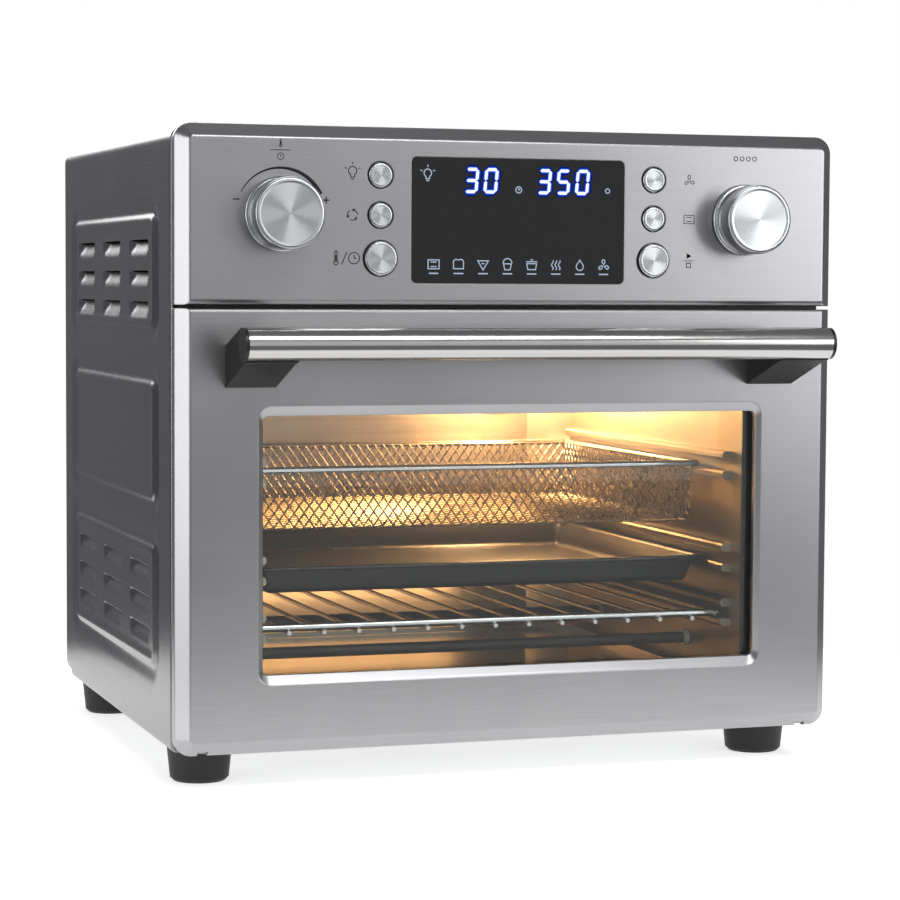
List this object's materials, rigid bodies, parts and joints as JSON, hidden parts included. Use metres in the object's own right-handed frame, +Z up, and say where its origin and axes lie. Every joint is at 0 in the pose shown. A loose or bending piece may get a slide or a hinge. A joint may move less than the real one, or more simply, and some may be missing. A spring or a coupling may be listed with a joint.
{
  "type": "countertop toaster oven",
  "caption": "Countertop air-fryer toaster oven with a drop-down glass door, bar handle, knobs, push buttons, display, wire rack, pan and mesh basket.",
  "frame": {"origin": "middle of the bounding box at the level of the worktop, under the feet", "axes": "+Z up, +Y from the door towards the back cover, +X to the right as seen from the front"},
  "size_m": [0.4, 0.416, 0.3745],
  "materials": {
    "brushed_stainless": "brushed horizontally, satin",
    "housing_steel": "satin stainless sheet, deep drawn louvres",
    "zinc_sheet": "zinc-plated sheet, dull",
    "black_frame_steel": "stoved black enamel",
    "aluminised_steel": "aluminised liner sheet, satin",
    "chromed_wire": "bright chromium plate on drawn wire",
    "polished_tube": "polished stainless tube",
    "expanded_steel": "expanded stainless mesh",
    "pan_enamel": "dark non-stick coating",
    "spun_aluminium": "spun face, polished sides",
    "black_nylon": "moulded, fine grain",
    "foot_rubber": "moulded, matt",
    "tempered_glass": "clear, flat",
    "silicone_seal": "extruded silicone",
    "display_glass": "black gloss lens with lit characters",
    "circuit_board": "green solder mask",
    "module_body": "moulded LED module",
    "ceramic": "unglazed steatite",
    "element_sheath": "oxidised heater sheath",
    "motor_steel": "stoved grey paint",
    "fan_plastic": "moulded heat-resistant resin",
    "lamp_glass": "borosilicate lens",
    "lamp_envelope": "frosted bulb",
    "machined_steel": "zinc-plated steel",
    "spring_steel": "drawn spring wire",
    "zinc_screw": "zinc-plated screw"
  },
  "bodies": {
    "oven": {"housing_wrap": "housing_steel", "back_cover": "housing_steel", "wall_spacers": "black_nylon", "cord_gland": "black_nylon", "base_plate": "zinc_sheet", "foot_front_left": "foot_rubber", "foot_front_right": "foot_rubber", "foot_rear_left": "foot_rubber", "foot_rear_right": "foot_rubber", "front_frame": "black_frame_steel", "cavity_wall": "aluminised_steel", "cavity_ceiling": "aluminised_steel", "cavity_floor": "aluminised_steel", "heat_shield": "zinc_sheet", "heater_lower": "element_sheath", "heater_upper": "element_sheath", "heater_bushings": "ceramic", "temperature_probe": "machined_steel", "fan_guard": "aluminised_steel", "fan_housing": "aluminised_steel", "fan_motor": "motor_steel", "lamp_holder": "ceramic", "lamp_bulb": "lamp_envelope", "lamp_glass": "lamp_glass", "hinge_lugs": "machined_steel", "door_springs": "spring_steel", "control_fascia": "brushed_stainless", "display_lens": "display_glass", "display_module": "module_body", "control_board": "circuit_board", "power_board": "circuit_board", "encoders": "machined_steel", "button_rings": "black_nylon", "casing_screws": "zinc_screw"},
    "door": {"door_panel": "brushed_stainless", "door_inner": "aluminised_steel", "door_glass": "tempered_glass", "glass_seal": "silicone_seal", "door_pivots": "machined_steel", "stay_arms": "machined_steel", "door_screws": "zinc_screw", "handle_tube": "polished_tube", "handle_bracket_left": "black_nylon", "handle_bracket_right": "black_nylon", "handle_caps": "black_nylon"},
    "fan": {"fan_wheel": "zinc_sheet", "cooling_fan": "fan_plastic"},
    "rack": {"wire_rack": "chromed_wire"},
    "pan": {"baking_pan": "pan_enamel"},
    "basket": {"basket_rim": "chromed_wire", "basket_mesh": "expanded_steel"},
    "crumb_drawer": {"crumb_tray": "aluminised_steel"},
    "left_knob": {"knob_left": "spun_aluminium"},
    "right_knob": {"knob_right": "spun_aluminium"},
    "push_light": {"button_light": "spun_aluminium"},
    "push_turn": {"button_turn": "spun_aluminium"},
    "push_mode": {"button_mode": "spun_aluminium"},
    "push_fry": {"button_fry": "spun_aluminium"},
    "push_bake": {"button_bake": "spun_aluminium"},
    "push_start": {"button_start": "spun_aluminium"}
  },
  "joints": [
    {"name": "door_hinge", "type": "hinge", "parent": "oven", "child": "door", "pos_m": [0, -0.143, 0.0255], "axis": [1, 0, 0], "range_deg": [0, 78], "stiffness_Nm_per_rad": 0.9, "springref_deg": -34.38},
    {"name": "fan_spin", "type": "hinge", "parent": "oven", "child": "fan", "pos_m": [0, 0.015, 0.27], "axis": [0, 0, 1], "continuous": true},
    {"name": "knob_left_turn", "type": "hinge", "parent": "oven", "child": "left_knob", "pos_m": [-0.141, -0.152, 0.3245], "axis": [0, 1, 0], "continuous": true},
    {"name": "knob_right_turn", "type": "hinge", "parent": "oven", "child": "right_knob", "pos_m": [0.141, -0.152, 0.3245], "axis": [0, 1, 0], "continuous": true},
    {"name": "push_light", "type": "slide", "parent": "oven", "child": "push_light", "axis": [0, 1, 0], "range_m": [0, 0.0012], "stiffness_N_per_m": 400, "springref_m": -0.002},
    {"name": "push_turn", "type": "slide", "parent": "oven", "child": "push_turn", "axis": [0, 1, 0], "range_m": [0, 0.0012], "stiffness_N_per_m": 400, "springref_m": -0.002},
    {"name": "push_mode", "type": "slide", "parent": "oven", "child": "push_mode", "axis": [0, 1, 0], "range_m": [0, 0.0012], "stiffness_N_per_m": 400, "springref_m": -0.002},
    {"name": "push_fry", "type": "slide", "parent": "oven", "child": "push_fry", "axis": [0, 1, 0], "range_m": [0, 0.0012], "stiffness_N_per_m": 400, "springref_m": -0.002},
    {"name": "push_bake", "type": "slide", "parent": "oven", "child": "push_bake", "axis": [0, 1, 0], "range_m": [0, 0.0012], "stiffness_N_per_m": 400, "springref_m": -0.002},
    {"name": "push_start", "type": "slide", "parent": "oven", "child": "push_start", "axis": [0, 1, 0], "range_m": [0, 0.0012], "stiffness_N_per_m": 400, "springref_m": -0.002},
    {"name": "rack_slide", "type": "slide", "parent": "oven", "child": "rack", "axis": [0, -1, 0], "range_m": [0, 0.1299]},
    {"name": "pan_slide", "type": "slide", "parent": "oven", "child": "pan", "axis": [0, -1, 0], "range_m": [0, 0.1776]},
    {"name": "basket_slide", "type": "slide", "parent": "oven", "child": "basket", "axis": [0, -1, 0], "range_m": [0, 0.2007]},
    {"name": "crumb_drawer_slide", "type": "slide", "parent": "oven", "child": "crumb_drawer", "axis": [0, -1, 0], "range_m": [0, 0.0469]}
  ],
  "couplings": [
    {"joint": "rack_slide", "follows": "door_hinge", "m_per_rad": 0.095},
    {"joint": "pan_slide", "follows": "door_hinge", "m_per_rad": 0.13},
    {"joint": "basket_slide", "follows": "door_hinge", "m_per_rad": 0.147},
    {"joint": "crumb_drawer_slide", "follows": "door_hinge", "m_per_rad": 0.034}
  ]
}
